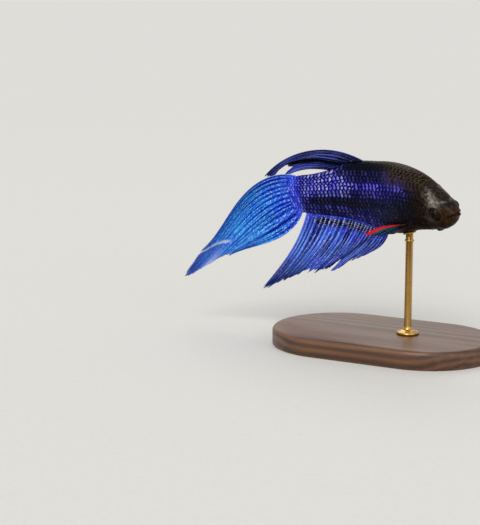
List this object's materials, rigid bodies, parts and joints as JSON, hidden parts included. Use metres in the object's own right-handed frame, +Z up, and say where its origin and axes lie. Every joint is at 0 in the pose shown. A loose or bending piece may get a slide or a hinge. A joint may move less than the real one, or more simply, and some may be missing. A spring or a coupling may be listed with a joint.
{
  "type": "betta fish on a display stand",
  "caption": "Still life-size model of a male veil-tail betta in a turning pose, with long trailing fins, held over a flat oval base by a slim rod",
  "frame": {"origin": "middle of the whole model's box in plan, on the floor under the stand's base", "axes": "+X is toward the fish's head, +Y is toward its left side, +Z is up"},
  "size_m": [0.0774, 0.03, 0.0427],
  "materials": {
    "head_skin": "smooth dark brown-black fish skin, softly glossy",
    "scales": "overlapping iridescent violet-blue scales with dark edges",
    "eye": "wet black eye with a thin brown rim",
    "dark_fin": "navy fin web with blue rays",
    "violet_fin": "violet-blue fin web with lighter rays",
    "azure_fin": "bright azure fin web with lighter rays and dark folds",
    "clear_fin": "clear fin web with faint rays",
    "red_fin": "bright red ray with a dark web",
    "walnut": "satin oiled walnut",
    "brass": "satin brushed brass"
  },
  "bodies": {
    "root": {"head": "head_skin", "lower_jaw": "head_skin", "gill_cover_left": "head_skin", "gill_cover_right": "head_skin", "eye_left": "eye", "eye_right": "eye", "trunk": "scales", "tail_stem": "scales", "dorsal_fin": "dark_fin", "anal_fin": "violet_fin", "caudal_fin": "azure_fin", "pectoral_fin_left": "clear_fin", "pectoral_fin_right": "clear_fin", "pelvic_fin_left": "red_fin", "pelvic_fin_right": "red_fin", "stand_base": "walnut", "stand_rod": "brass"}
  },
  "joints": []
}
